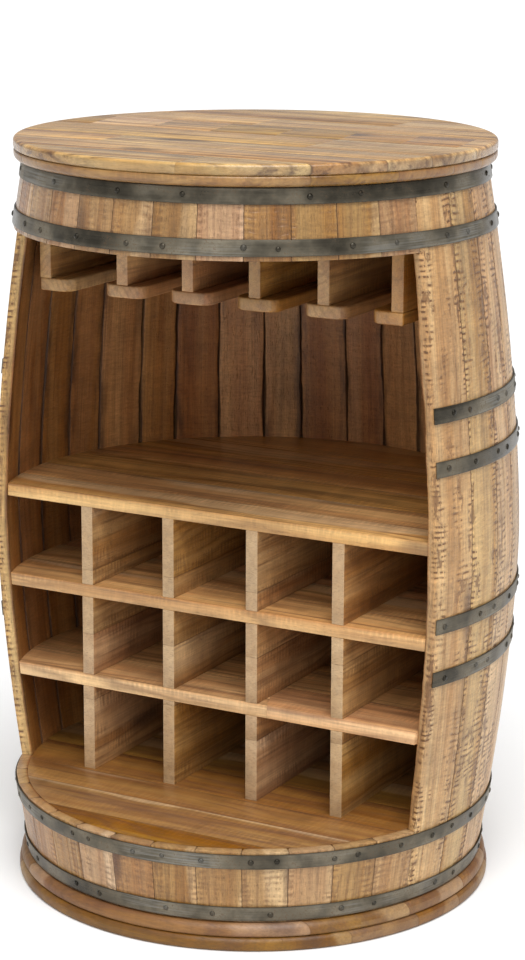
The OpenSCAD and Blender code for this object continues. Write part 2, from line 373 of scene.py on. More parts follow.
def build_saw_marks():
    """Short dark ticks that a saw leaves across a board, most of them near its sides."""
    b, i, o = new_group(
        "saw_marks", "ShaderNodeTree",
        {"Color": (0.5, 0.3, 0.1, 1), "Scorch": (0.2, 0.08, 0.03, 1),
         "Spacing": 0.0082, "Amount": 0.5, "Rasp": 0.3},
        ("Color", "Height"))
    grain = b.attribute("grain")["Vector"]
    seed, _, half = b.parts(b.attribute("board")["Vector"])
    along, across, through = b.parts(grain)
    spot = b.vector("ADD", grain, b.joined(b.times(seed, 11.3), b.times(seed, 2.9), 0.0))

    def spread(length, width, detail=2.0, roughness=0.6):
        return b.noise(b.vector("MULTIPLY", spot, (length, width, width)), detail, roughness)

    tick = b.plus(b.sum("DIVIDE", along, i["Spacing"]), b.times(spread(15.0, 7.0, 2.0), 4.2))
    wave = b.sum("SINE", b.times(tick, 2 * math.pi))
    dash = b.eased(spread(52.0, 105.0, 3.0, 0.65), 0.42, 0.56)
    side = b.minus(half, b.sum("ABSOLUTE", across))
    reach = b.eased(spread(9.0, 24.0, 2.0), 0.40, 0.62, 0.006, 0.034)
    near = b.times(b.eased(side, b.times(reach, 0.5), reach, 1.0, 0.0),
                   b.eased(spread(3.4, 14.0), 0.38, 0.50))
    field = b.eased(spread(7.0, 20.0, 3.0), 0.52, 0.60)
    region = b.sum("MAXIMUM", near, b.times(field, 0.85))
    outside = b.eased(through, 0.005, 0.010, 1.0, 0.15)
    region = b.times(region, outside)
    mask = b.times(b.times(b.eased(wave, 0.10, 0.95), dash), region)
    smear = b.times(b.eased(spread(30.0, 62.0, 4.0, 0.7), 0.51, 0.60), region)
    mask = b.sum("MAXIMUM", mask, b.times(smear, 0.75))
    rasp = spread(330.0, 75.0, 3.0, 0.65)
    pale = b.times(b.eased(wave, -0.95, -0.4, 1.0, 0.0), region)
    shade = b.plus(1.0, b.times(b.minus(rasp, 0.5), b.times(i["Rasp"], 0.85)))
    shade = b.plus(shade, b.times(pale, 0.16))
    colour = b.vector("MULTIPLY", i["Color"], b.joined(shade, shade, shade))
    colour = b.mixed(b.times(mask, i["Amount"]), colour, i["Scorch"])
    b.feed(o["Color"], colour)
    b.feed(o["Height"], b.minus(b.times(rasp, i["Rasp"]), b.times(mask, i["Amount"])))


def build_board_edges():
    """Dark joints, end grain, inside faces darkened by painted shade and unfinished wood, and
    painted light and shade below the upper face.
    """
    b, i, o = new_group(
        "board_edges", "ShaderNodeTree",
        {"Color": (0.5, 0.3, 0.1, 1), "Joint dark": 0.5, "End grey": 0.4,
         "Inside stain": 0.0, "Inside depth": 0.015, "Side tint": (1, 1, 1, 1)},
        ("Color", "Dirt"))
    grain = b.attribute("grain")["Vector"]
    seed, tone, half = b.parts(b.attribute("board")["Vector"])
    _, across, through = b.parts(grain)
    ends = b.attribute("end_face")["Fac"]
    spot = b.vector("ADD", grain, b.joined(seed, seed, seed))
    patch = b.noise(b.vector("MULTIPLY", spot, (18.0, 60.0, 60.0)), 3.0, 0.6)
    side = b.minus(half, b.sum("ABSOLUTE", across))
    side = b.plus(side, b.times(b.minus(patch, 0.5), 0.0012))
    joint = b.eased(side, -0.0002, 0.0016, 1.0, 0.0)
    soot = b.times(b.eased(side, 0.0, 0.007, 1.0, 0.0), b.eased(patch, 0.5, 0.75))
    dark = b.sum("MAXIMUM", joint, b.times(soot, 0.5))
    colour = b.mixed(b.times(dark, i["Joint dark"]), i["Color"], JOINT_DIRT)
    grey = b.mixed(patch, END_GRAIN[0], END_GRAIN[1])
    saw = b.noise(b.vector("MULTIPLY", spot, (30.0, 900.0, 200.0)), 2.0)
    grey = b.mixed(b.times(b.eased(saw, 0.5, 0.75), 0.5), grey, END_GRAIN[2])
    colour = b.mixed(b.times(ends, i["End grey"]), colour, grey)
    # Inside face darkened: painted shade plus the darker unfinished wood.
    deep = b.eased(through, b.times(i["Inside depth"], 0.72), b.times(i["Inside depth"], 0.97))
    deep = b.times(deep, i["Inside stain"])
    shade_and_stain = b.mixed(b.sum("MULTIPLY_ADD", tone, 0.5, 0.5), INSIDE_SHADE_AND_STAIN[0], INSIDE_SHADE_AND_STAIN[1])
    colour = b.mixed(deep, colour, b.mixed(1.0, colour, shade_and_stain, "MULTIPLY"))
    # Darker in patches near the sides of the inside face.
    inside_edge_dark = b.noise(b.vector("MULTIPLY", spot, (7.0, 34.0, 34.0)), 4.0, 0.62)
    inside_edge_dark = b.times(b.eased(side, 0.001, 0.019, 1.0, 0.0), b.eased(inside_edge_dark, 0.44, 0.64))
    colour = b.mixed(b.times(b.times(inside_edge_dark, deep), 0.8), colour, INSIDE_EDGE_DARK)
    # Below the upper face: painted light and shade (darker top lip, paler shelf fronts).
    below = b.eased(through, 0.001, 0.004)
    colour = b.mixed(below, colour, b.mixed(1.0, colour, i["Side tint"], "MULTIPLY"))
    b.feed(o["Color"], colour)
    b.feed(o["Dirt"], dark)


def build_iron_patina():
    """Blued iron with dull patches, rubbed streaks, a speckle of rust, and painted highlights and
    painted reflection patches in its colour.
    """
    b, i, o = new_group(
        "iron_patina", "ShaderNodeTree",
        {"Iron": (0.13, 0.13, 0.11, 1), "Rust": (0.16, 0.075, 0.03, 1), "Rust amount": 0.35},
        ("Color", "Roughness", "Height"))
    grain = b.attribute("grain")["Vector"]
    across = b.parts(grain)[1]
    half = b.parts(b.attribute("board")["Vector"])[2]
    place = b.add("ShaderNodeTexCoord").outputs["Object"]
    cloud = b.noise(b.scaled(place, 26.0), 4.0, 0.6)
    patch = b.noise(b.scaled(place, 7.5), 2.0)
    rub = b.noise(b.vector("MULTIPLY", grain, (9.0, 420.0, 420.0)), 3.0, 0.6)
    speck = b.noise(b.scaled(place, 420.0), 2.0, 0.6)
    light = b.plus(0.15, b.plus(b.eased(cloud, 0.35, 0.65, 0.25, 0.95), b.times(rub, 0.55)))
    # Broad bright and dark patches in the colour: painted reflection.
    light = b.times(light, b.eased(patch, 0.36, 0.62, 0.52, 1.30))
    iron = b.vector("MULTIPLY", i["Iron"], b.joined(light, light, light))
    # Bright patches where rubbed: painted highlight.
    painted_highlight = b.times(b.eased(patch, 0.50, 0.66), b.eased(rub, 0.40, 0.62))
    iron = b.mixed(b.times(painted_highlight, 0.55), iron, PAINTED_HIGHLIGHT_IRON)
    rust = b.times(b.eased(speck, 0.52, 0.68), b.eased(cloud, 0.45, 0.62))
    colour = b.mixed(b.times(rust, i["Rust amount"]), iron, i["Rust"])
    side = b.minus(half, b.sum("ABSOLUTE", across))
    edge = b.eased(side, 0.0, 0.0016, 1.0, 0.0)
    colour = b.mixed(b.times(edge, b.eased(cloud, 0.35, 0.6, 0.2, 0.75)), colour, SOOTY_IRON)
    b.feed(o["Color"], colour)
    dull = b.plus(b.eased(patch, 0.38, 0.62, 0.22, 0.50), b.times(rust, 0.25))
    b.feed(o["Roughness"], b.plus(dull, b.times(rub, 0.12)))
    b.feed(o["Height"], b.plus(b.times(cloud, 0.5), b.times(speck, 0.12)))


# Look of each finish: gains on the honey and tan colours, then the amount of each effect.
LOOK_WORDS = ("pale", "middle", "Lines", "Streaks", "Flame", "Sapwood", "Knots", "Tone spread",
              "Ring spacing", "Amount", "Rasp", "Joint dark", "End grey", "Inside stain",
              "rough", "coat", "bump")
WOODS = {
    "stave_wood": ((1.00, 1.00, 0.92), (1.12, 1.09, 0.98), 0.30, 0.30, 0.20, 0.35, 0.70, 0.15,
                   0.016, 1.00, 0.9, 0.80, 0.30, 0.90, (0.42, 0.62), 0.08, 0.0008),
    "upper_band_wood": ((0.56, 0.48, 0.38), (0.70, 0.58, 0.45), 0.40, 0.40, 0.30, 0.25, 0.8, 0.17,
                        0.012, 0.50, 0.8, 0.60, 0.25, 0.85, (0.32, 0.54), 0.15, 0.0006),
    "lower_band_wood": ((0.70, 0.60, 0.46), (0.82, 0.70, 0.54), 0.40, 0.40, 0.30, 0.40, 0.8, 0.16,
                        0.012, 0.55, 0.8, 0.60, 0.25, 0.85, (0.34, 0.56), 0.12, 0.0006),
    "top_wood": ((1.06, 0.96, 0.66), (1.10, 0.95, 0.62), 0.65, 0.85, 0.80, 0.12, 0.75, 0.20,
                 0.017, 0.20, 0.30, 0.60, 0.10, 0.0, (0.26, 0.42), 0.15, 0.00025),
    "moulding_wood": ((0.52, 0.42, 0.25), (0.60, 0.48, 0.29), 0.60, 0.65, 0.40, 0.10, 0.4, 0.12,
                      0.008, 0.10, 0.2, 0.35, 0.10, 0.0, (0.30, 0.48), 0.18, 0.0003),
    "plinth_wood": ((0.36, 0.25, 0.09), (0.39, 0.27, 0.10), 0.60, 0.60, 0.45, 0.20, 0.5, 0.12,
                    0.012, 0.10, 0.2, 0.30, 0.10, 0.0, (0.45, 0.62), 0.0, 0.0003),
    "floor_wood": ((0.50, 0.38, 0.15), (0.50, 0.36, 0.14), 0.75, 0.70, 0.85, 0.30, 0.5, 0.08,
                   0.026, 0.10, 0.2, 0.60, 0.15, 0.0, (0.34, 0.50), 0.12, 0.00025),
    "shelf_wood": ((1.02, 0.82, 0.54), (1.04, 0.80, 0.50), 0.55, 0.70, 0.65, 0.40, 0.5, 0.12,
                   0.018, 0.20, 0.4, 0.45, 0.15, 0.0, (0.34, 0.50), 0.12, 0.00035),
    # The ceiling board's finish is a darker copy of the board wood: painted shade.
    "ceiling_wood": ((0.15, 0.10, 0.07), (0.16, 0.11, 0.07), 0.50, 0.50, 0.40, 0.20, 0.5, 0.12,
                     0.018, 0.10, 0.2, 0.60, 0.15, 0.0, (0.40, 0.55), 0.05, 0.00025),
    "divider_wood": ((0.84, 0.74, 0.60), (0.88, 0.74, 0.56), 0.45, 0.60, 0.50, 0.30, 0.7, 0.10,
                     0.012, 0.45, 0.6, 0.45, 0.70, 0.0, (0.42, 0.60), 0.08, 0.0006),
    "rail_wood": ((0.80, 0.63, 0.34), (0.88, 0.67, 0.36), 0.40, 0.50, 0.40, 0.25, 0.6, 0.14,
                  0.011, 0.35, 0.6, 0.40, 0.25, 0.0, (0.40, 0.56), 0.08, 0.0006),
}
# Painted light and shade on some boards below their upper face: painted shade dulls the table
# top's lip, painted light makes the shelf fronts paler.
PAINTED_SIDE_LIGHT_AND_SHADE = {"top_wood": (0.70, 0.75, 0.93), "shelf_wood": (1.12, 1.25, 1.38)}


def gained(colour, gains):
    return tuple(c * g for c, g in zip(colour, gains)) + (1.0,)


def new_finish(name):
    """The bench of a new, empty material."""
    material = bpy.data.materials.new(name + "_finish")
    material.use_nodes = True
    material.node_tree.nodes.clear()
    return Bench(material.node_tree)


def wood_material(name, look, colours):
    """Makes one wood finish from its own values and the three wood groups."""
    b = new_finish(name)
    figure, saw, edges = (b.add("ShaderNodeGroup", node_tree=bpy.data.node_groups[group])
                          for group in ("wood_figure", "saw_marks", "board_edges"))
    for group in (figure, saw, edges):
        for socket in group.inputs:
            if socket.name in look:
                socket.default_value = look[socket.name]
    for socket, value in (
            (figure.inputs["Pale"], gained(colours.honey, look["pale"])),
            (figure.inputs["Middle"], gained(colours.tan, look["middle"])),
            (figure.inputs["Dark"], rgba(colours.umber)),
            (figure.inputs["Sap"], rgba(colours.sapwood)),
            (saw.inputs["Color"], figure.outputs["Color"]),
            (saw.inputs["Scorch"], rgba(colours.umber, SCORCH_GAIN)),
            (edges.inputs["Color"], saw.outputs["Color"]),
            (edges.inputs["Side tint"], rgba(PAINTED_SIDE_LIGHT_AND_SHADE.get(name, (1.0, 1.0, 1.0))))):
        b.feed(socket, value)
    low, high = look["rough"]
    rough = b.eased(figure.outputs["Gloss"], 0.2, 0.8, low, high)
    rough = b.plus(rough, b.times(edges.outputs["Dirt"], 0.15))
    height = b.plus(figure.outputs["Height"], saw.outputs["Height"])
    bump = b.add("ShaderNodeBump", {"Strength": 1.0, "Distance": look["bump"], "Height": height})
    skin = b.add("ShaderNodeBsdfPrincipled",
                 {"Base Color": edges.outputs["Color"], "Roughness": rough,
                  "Normal": bump.outputs[0], "Coat Weight": look["coat"],
                  "Coat Roughness": COAT_ROUGHNESS})
    b.add("ShaderNodeOutputMaterial", {"Surface": skin.outputs[0]})


def iron_material(name, colour, rust):
    """Makes one iron finish."""
    b = new_finish(name)
    patina = b.add("ShaderNodeGroup", node_tree=bpy.data.node_groups["iron_patina"])
    b.feed(patina.inputs["Iron"], rgba(colour))
    b.feed(patina.inputs["Rust amount"], rust)
    bump = b.add("ShaderNodeBump", {"Strength": 1.0, "Distance": 0.0005,
                                    "Height": patina.outputs["Height"]})
    skin = b.add("ShaderNodeBsdfPrincipled",
                 {"Base Color": patina.outputs["Color"], "Roughness": patina.outputs["Roughness"],
                  "Metallic": 0.75, "Normal": bump.outputs[0]})
    b.add("ShaderNodeOutputMaterial", {"Surface": skin.outputs[0]})


# ------------------------------------------------------------------ trees for the wall

WALL_INPUTS = {"Belly radius": 0.354, "Belly height": 0.478, "Draw-in": 0.054, "Bow power": 1.6}


def wall_radius_nodes(b, i, height):
    """Nodes for the wall's outer radius at a height."""
    reach = b.sum("DIVIDE", b.sum("ABSOLUTE", b.minus(height, i["Belly height"])), BOW_REACH)
    fall = b.times(i["Draw-in"], b.sum("POWER", reach, i["Bow power"]))
    return b.minus(i["Belly radius"], fall)


def build_wall_strip():
    """Tree for a stave or a hoop: a block bent to the wall between two angles and two heights."""
    b, i, o = new_group(
        "wall_strip", "GeometryNodeTree",
        {**WALL_INPUTS,
         "Start angle": 0.0, "End angle": 0.2, "Low": 0.0, "High": 1.0, "Offset": 0.0,
         "Thickness": 0.015, "Columns": 10, "Rows": 100, "Flatness": 0.0, "Edge wave": 0.0,
         "Surface wave": 0.0, "Lap angle": 0.0, "Seed": 0.0, "Tone": 0.0, "Run": 0.0,
         "Clean edge": 0.0, "Material": None},
        ("Geometry",))
    block = b.add("GeometryNodeMeshCube", {"Size": (1, 1, 1), "Vertices X": i["Columns"],
                                           "Vertices Y": 3, "Vertices Z": i["Rows"]})
    x, y, z = b.parts(b.add("GeometryNodeInputPosition").outputs[0])
    u = b.minus(0.5, x)
    w = b.plus(y, 0.5)
    v = b.plus(z, 0.5)
    span = b.minus(i["End angle"], i["Start angle"])
    angle = b.sum("MULTIPLY_ADD", span, u, i["Start angle"])
    height = b.sum("MULTIPLY_ADD", b.minus(i["High"], i["Low"]), v, i["Low"])
    width = b.times(span, i["Belly radius"])
    across = b.times(b.minus(u, 0.5), width)
    through = b.times(b.minus(1.0, w), i["Thickness"])
    rise = b.minus(height, b.times(0.5, b.plus(i["High"], i["Low"])))
    upright = b.joined(height, across, through)
    level = b.joined(across, rise, through)
    grain = b.add("ShaderNodeMix", {0: i["Run"], 4: upright, 5: level},
                  data_type="VECTOR").outputs[1]
    half_up = b.sum("MULTIPLY_ADD", width, 0.5, i["Clean edge"])
    half_level = b.times(b.minus(i["High"], i["Low"]), 0.5)
    half = b.add("ShaderNodeMix", {0: i["Run"], 2: half_up, 3: half_level},
                 data_type="FLOAT").outputs[0]
    edge = b.minus(b.times(u, 2.0), 1.0)
    side = b.sum("SIGN", edge)
    bulge = b.times(b.minus(1.0, b.times(edge, edge)), i["Flatness"])
    ripple = b.noise(b.joined(b.times(height, 9.0), b.times(across, 45.0),
                              b.plus(i["Seed"], b.times(w, 3.0))), 2.0)
    ripple = b.times(b.minus(ripple, 0.6), i["Surface wave"])
    ragged = b.noise(b.joined(b.times(height, 11.0), b.times(side, 7.7), i["Seed"]), 4.0, 0.62)
    ragged = b.eased(ragged, 0.34, 0.70)
    ragged = b.times(ragged, i["Edge wave"])
    ragged = b.times(ragged, b.sum("POWER", b.sum("ABSOLUTE", edge), 8.0))
    ragged = b.times(ragged, b.sum("SUBTRACT", 1.0, b.times(w, 2.0), clamp=True))
    part = b.sum("DIVIDE", i["Lap angle"], span)
    lap = b.eased(u, b.minus(1.0, b.times(part, 1.25)), b.minus(1.0, part))
    lap = b.times(lap, b.sum("GREATER_THAN", i["Lap angle"], 0.0001))
    lift = b.times(lap, b.times(i["Thickness"], 1.03))
    radius = b.plus(wall_radius_nodes(b, i, height), i["Offset"])
    radius = b.sum("MULTIPLY_ADD", i["Thickness"], w, radius)
    radius = b.plus(b.minus(radius, bulge), b.plus(ripple, lift))
    turned = b.minus(angle, b.sum("DIVIDE", b.times(ragged, side), radius))
    place = b.joined(b.times(radius, b.sum("COSINE", turned)),
                     b.times(radius, b.sum("SINE", turned)), height)
    mesh = b.stored(block.outputs["Mesh"], grain=grain,
                    board=b.joined(i["Seed"], i["Tone"], half))
    moved = b.add("GeometryNodeSetPosition", {"Geometry": mesh, "Position": place}).outputs[0]
    real = b.add("GeometryNodeRealizeInstances", {"Geometry": moved}).outputs[0]
    done = b.add("GeometryNodeSetMaterial", {"Geometry": real, "Material": i["Material"]})
    b.feed(o["Geometry"], done.outputs[0])


def build_nail_row():
    """Tree for a row of nail heads along one hoop, each driven a little out of true."""
    b, i, o = new_group(
        "nail_row", "GeometryNodeTree",
        {**WALL_INPUTS,
         "Count": 10, "Start angle": 0.0, "Span": 6.28, "Hoop height": 0.5, "Offset": 0.0022,
         "Nail radius": 0.0036, "Nail height": 0.0018, "Row": 0.0, "Lap start": 0.0,
         "Lap end": 0.0, "Lap lift": 0.002, "Material": None},
        ("Geometry",))
    index = b.add("GeometryNodeInputIndex").outputs[0]
    step = b.sum("DIVIDE", i["Span"], i["Count"])
    stray = b.sum("SINE", b.plus(b.times(index, math.radians(151)),
                                 b.times(i["Row"], math.radians(67))))
    order = b.plus(b.plus(index, 0.5), b.times(stray, 0.22))
    angle = b.sum("MULTIPLY_ADD", order, step, i["Start angle"])
    wobble = b.sum("SINE", b.plus(b.times(index, 2.4), i["Row"]))
    height = b.sum("MULTIPLY_ADD", wobble, 0.0009, i["Hoop height"])
    turn = b.sum("WRAP", angle, 2 * math.pi, 0.0)
    over = b.times(b.sum("GREATER_THAN", turn, i["Lap start"]),
                   b.sum("LESS_THAN", turn, i["Lap end"]))
    radius = b.plus(wall_radius_nodes(b, i, height), i["Offset"])
    radius = b.sum("MULTIPLY_ADD", over, i["Lap lift"], radius)
    above = wall_radius_nodes(b, i, b.plus(height, 0.001))
    below = wall_radius_nodes(b, i, b.minus(height, 0.001))
    tilt = b.sum("ARCTANGENT", b.sum("DIVIDE", b.minus(below, above), 0.002))
    place = b.joined(b.times(radius, b.sum("COSINE", angle)),
                     b.times(radius, b.sum("SINE", angle)), height)
    points = b.add("GeometryNodePoints", {"Count": i["Count"], "Position": place}).outputs[0]
    head = b.add("GeometryNodeMeshUVSphere", {"Segments": 12, "Rings": 6, "Radius": 1.0})
    hx, hy, hz = b.parts(b.add("GeometryNodeInputPosition").outputs[0])
    shape = b.joined(b.times(hx, i["Nail radius"]), b.times(hy, i["Nail radius"]),
                     b.sum("MAXIMUM", b.times(hz, i["Nail height"]), -0.0004))
    top = b.joined(b.times(hx, 0.01), b.minus(1.0, hz), 0.0)
    mesh = b.stored(head.outputs["Mesh"], grain=top, board=b.joined(i["Row"], 0.0, 1.0))
    dome = b.add("GeometryNodeSetPosition", {"Geometry": mesh, "Position": shape}).outputs[0]
    lean = b.add("FunctionNodeRandomValue", {"Min": (-0.09, -0.09, 0.0), "Max": (0.09, 0.09, 0.0),
                                             "ID": index}, data_type="FLOAT_VECTOR")
    b.feed(lean.inputs["Seed"], 7)
    aim = b.joined(0.0, b.minus(math.pi / 2, tilt), angle)
    turned = b.vector("ADD", aim, lean.outputs[0])
    size = b.add("FunctionNodeRandomValue", {2: 0.88, 3: 1.12, "ID": index, "Seed": 3},
                 data_type="FLOAT").outputs[1]
    euler = b.add("FunctionNodeEulerToRotation", {0: turned}).outputs[0]
    placed = b.add("GeometryNodeInstanceOnPoints",
                   {"Points": points, "Instance": dome, "Rotation": euler,
                    "Scale": b.joined(size, size, size)}).outputs[0]
    real = b.add("GeometryNodeRealizeInstances", {"Geometry": placed}).outputs[0]
    smooth = b.add("GeometryNodeSetShadeSmooth", {"Geometry": real}).outputs[0]
    done = b.add("GeometryNodeSetMaterial", {"Geometry": smooth, "Material": i["Material"]})
    b.feed(o["Geometry"], done.outputs[0])


def grown_mesh(name, tree_name, values):
    """Mesh that a tree makes with these values for its named inputs."""
    tree = bpy.data.node_groups[tree_name]
    maker = linked(name + "_maker", bpy.data.meshes.new(name + "_maker"))
    modifier = maker.modifiers.new("grow", "NODES")
    modifier.node_group = tree
    for item in tree.interface.items_tree:
        if item.item_type == "SOCKET" and item.in_out == "INPUT" and item.name in values:
            modifier[item.identifier] = values[item.name]
    maker.update_tag()
    mesh = applied_mesh(maker)
    if not mesh.polygons:
        raise RuntimeError(f"{tree_name} made nothing for {name}")
    return mesh


# ------------------------------------------------------------------ planks

def rounded(name, mesh, width, segments=2, angle=38.0):
    """The mesh with its sharp edges rounded, as a plain mesh."""
    piece = linked(name + "_raw", mesh)
    bevel = piece.modifiers.new("arris", "BEVEL")
    bevel.width = width
    bevel.segments = segments
    bevel.limit_method = "ANGLE"
    bevel.angle_limit = math.radians(angle)
    bevel.miter_outer = "MITER_ARC"
    bevel.use_clamp_overlap = True
    done = applied_mesh(piece)
    done.shade_smooth()
    done.set_sharp_from_angle(angle=SHARP_EDGE)
    return done


def joined_mesh(name, meshes):
    """One mesh from several, with their attributes."""
    if len(meshes) == 1:
        meshes[0].name = name
        return meshes[0]
    pieces = [linked(f"{name}_part_{k}", mesh) for k, mesh in enumerate(meshes)]
    with bpy.context.temp_override(active_object=pieces[0], object=pieces[0],
                                   selected_objects=pieces, selected_editable_objects=pieces):
        bpy.ops.object.join()
    mesh = pieces[0].data
    bpy.data.objects.remove(pieces[0])
    mesh.name = name
    return mesh


def mark_ends(mesh, direction):
    """Stores which faces are end grain."""
    layer = mesh.attributes.new("end_face", "FLOAT", "FACE")
    for polygon in mesh.polygons:
        if abs(polygon.normal.dot(direction)) > 0.8:
            layer.data[polygon.index].value = 1.0


def node_solid(node):
    """A merged copy of a CAD node's mesh, with its flat faces whole."""
    solid = bmesh.new()
    solid.from_mesh(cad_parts[node].data)
    bmesh.ops.remove_doubles(solid, verts=solid.verts, dist=2e-6)
    bmesh.ops.dissolve_limit(solid, angle_limit=math.radians(0.4), verts=solid.verts[:],
                             edges=solid.edges[:])
    return solid


def cut_off(solid, point, normal):
    """Removes what lies beyond a plane and closes the cut."""
    cut = bmesh.ops.bisect_plane(
        solid, geom=solid.verts[:] + solid.edges[:] + solid.faces[:], dist=1e-6,
        plane_co=point, plane_no=normal, clear_outer=True)
    rims = [e for e in cut["geom_cut"] if isinstance(e, bmesh.types.BMEdge) and e.is_boundary]
    if rims:
        bmesh.ops.holes_fill(solid, edges=rims, sides=0)


class Strip:
    """One strip of a board: its two sides, and the cuts across it."""

    def __init__(self, low, high, ends=(), skew=0.0):
        self.low, self.high, self.ends, self.skew = low, high, tuple(ends), skew


def strips_of(low, high, width, seed):
    """Strips of about one width between two sides."""
    rng = random.Random(seed)
    sides = [low]
    while sides[-1] < high - width * 0.6:
        sides.append(sides[-1] + width * rng.uniform(0.78, 1.22))
    sides[-1] = high
    return [Strip(a, b) for a, b in zip(sides, sides[1:])]


def plank_piece(name, node, along, across, strips, seed, arris, joint=0.00016):
    """A board of planks, cut from a CAD node's solid, with the grain stored in each plank."""
    through = along.cross(across)
    low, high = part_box(node)
    face = max(low.dot(through), high.dot(through))
    rng = random.Random(seed)
    meshes = []
    for strip in strips:
        stops = [None] + list(strip.ends) + [None]
        for start, stop in zip(stops, stops[1:]):
            solid = node_solid(node)
            if strip.low > -WHOLE:
                cut_off(solid, across * (strip.low + joint / 2), -across)
            if strip.high < WHOLE:
                cut_off(solid, across * (strip.high - joint / 2), across)
            lean = (along + across * strip.skew).normalized()
            middle = across * (strip.low + strip.high) / 2
            if start is not None:
                cut_off(solid, along * (start + joint / 2) + middle, -lean)
            if stop is not None:
                cut_off(solid, along * (stop - joint / 2) + middle, lean)
            turn = rng.uniform(-BOARD_TURN, BOARD_TURN) if strip.high == WHOLE else 0.0
            number, tone = rng.uniform(0, 60), rng.uniform(-1, 1)
            if len(solid.faces) < 4:
                solid.free()
                continue
            bmesh.ops.recalc_face_normals(solid, faces=solid.faces[:])
            mesh = bpy.data.meshes.new(f"{name}_plank")
            solid.to_mesh(mesh)
            solid.free()
            sides = [v.co.dot(across) for v in mesh.vertices]
            left = min(sides) - (FREE_SIDE if strip is strips[0] else 0.0)
            right = max(sides) + (FREE_SIDE if strip is strips[-1] else 0.0)
            centre, half = (left + right) / 2, (right - left) / 2
            grain, board = [], []
            for v in mesh.vertices:
                a, c = v.co.dot(along), v.co.dot(across) - centre
                grain += [a, c + turn * a, face - v.co.dot(through)]
                board += [number, tone, half]
            for label, values in (("grain", grain), ("board", board)):
                mesh.attributes.new(label, "FLOAT_VECTOR", "POINT")
                mesh.attributes[label].data.foreach_set("vector", values)
            meshes.append(mesh)
    mesh = rounded(name, joined_mesh(name, meshes), arris)
    mark_ends(mesh, along)
    mesh.name = name
    return mesh


def finish_of(look):
    """The finish of one look, or of one material slot of the rack."""
    return bpy.data.materials[look + "_finish"]


def add_piece(name, mesh, slot, *nodes, look=None):
    """Puts a finished mesh into the scene in place of its CAD nodes."""
    mesh.materials.clear()
    mesh.materials.append(finish_of(look or slot))
    piece = linked(name, mesh)
    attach(piece, "root")
    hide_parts(*nodes)


# ------------------------------------------------------------------ operators

class RACK_OT_finishes(bpy.types.Operator):
    """Makes the wood and iron materials and the trees that shape the wall"""
    bl_idname = "wine_rack.finishes"
    bl_label = "Wood and iron finishes"

    def execute(self, context):
        colours = context.scene.rack_colours
        build_wood_figure()
        build_saw_marks()
        build_board_edges()
        build_iron_patina()
        build_wall_strip()
        build_nail_row()
        for name, values in WOODS.items():
            wood_material(name, dict(zip(LOOK_WORDS, values)), colours)
        iron_material("hoop_iron", colours.iron, RUST_AMOUNT)
        iron_material("nail_iron", [c * NAIL_DARKNESS for c in colours.iron], NAIL_RUST)
        return {"FINISHED"}


def wall_values(barrel):
    return {"Belly radius": barrel.belly_radius, "Belly height": barrel.belly_height,
            "Draw-in": barrel.draw_in, "Bow power": barrel.bow_power}


def stave_mesh(name, barrel, start, end, low, high, seed, material, clean=0.0):
    """One stave between two angles and two heights; clean keeps its sides free of joint dirt."""
    rng = random.Random(seed)
    values = wall_values(barrel)
    values.update({
        "Start angle": start, "End angle": end - STAVE_GAP, "Low": low, "High": high,
        "Offset": -barrel.stave_thickness, "Thickness": barrel.stave_thickness,
        "Columns": STAVE_COLUMNS, "Rows": max(8, int((high - low) / STAVE_ROW)),
        "Flatness": STAVE_FLATNESS,
        "Edge wave": barrel.edge_wave, "Surface wave": STAVE_WAVE, "Seed": rng.uniform(0, 60),
        "Tone": rng.uniform(-1, 1), "Run": 0.0, "Clean edge": clean,
        "Material": finish_of(material)})
    mesh = rounded(name, grown_mesh(name, "wall_strip", values), STAVE_ARRIS)
    mark_ends(mesh, Z)
    return mesh


class RACK_OT_full_staves(bpy.types.Operator):
    """Makes the full-height staves at the sides and the back"""
    bl_idname = "wine_rack.full_staves"
    bl_label = "Full-height staves"

    def execute(self, context):
        barrel = context.scene.rack_barrel
        low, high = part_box("stave_01")
        first = FRONT + barrel.opening_half
        whole = 2 * math.pi - 2 * barrel.opening_half
        shares = [1 + barrel.stave_variation * math.sin(math.radians(137.5 * k + 40))
                  for k in range(FULL_STAVES)]
        start = first
        for k, share in enumerate(shares):
            end = start + whole * share / sum(shares)
            name = f"rough_stave_{k + 1:02d}"
            clean = CLEAN_EDGE if k in (0, FULL_STAVES - 1) else 0.0
            mesh = stave_mesh(name, barrel, start, end, low.z, high.z, 100 + k, "stave_wood",
                              clean)
            add_piece(name, mesh, "stave_wood", f"stave_{k + 1:02d}")
            start = end
        return {"FINISHED"}


class RACK_OT_band_staves(bpy.types.Operator):
    """Makes the short staves above and below the opening"""
    bl_idname = "wine_rack.band_staves"
    bl_label = "Short staves"

    def execute(self, context):
        barrel = context.scene.rack_barrel
        step = 2 * barrel.opening_half / SHORT_STAVES
        for node, name, seed, look in (
                ("upper_front_staves", "upper_band_staves", 300, "upper_band_wood"),
                ("lower_front_staves", "lower_band_staves", 400, "lower_band_wood")):
            low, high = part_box(node)
            start = FRONT - barrel.opening_half
            meshes = [stave_mesh(f"{name}_{k}", barrel, start + k * step, start + (k + 1) * step,
                                 low.z, high.z, seed + k, look)
                      for k in range(SHORT_STAVES)]
            add_piece(name, joined_mesh(name, meshes), "short_stave_wood", node, look=look)
        return {"FINISHED"}


def hoop_runs(barrel):
    """Each hoop's number, box, whether it goes right round, and the angle that it spans."""
    closed = 2 * math.pi - 2 * barrel.opening_half - 2 * HOOP_END
    for k in range(len(NAIL_SHARE)):
        full = k in FULL_HOOPS
        yield k, *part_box(f"hoop_{k + 1}"), full, 2 * math.pi if full else closed


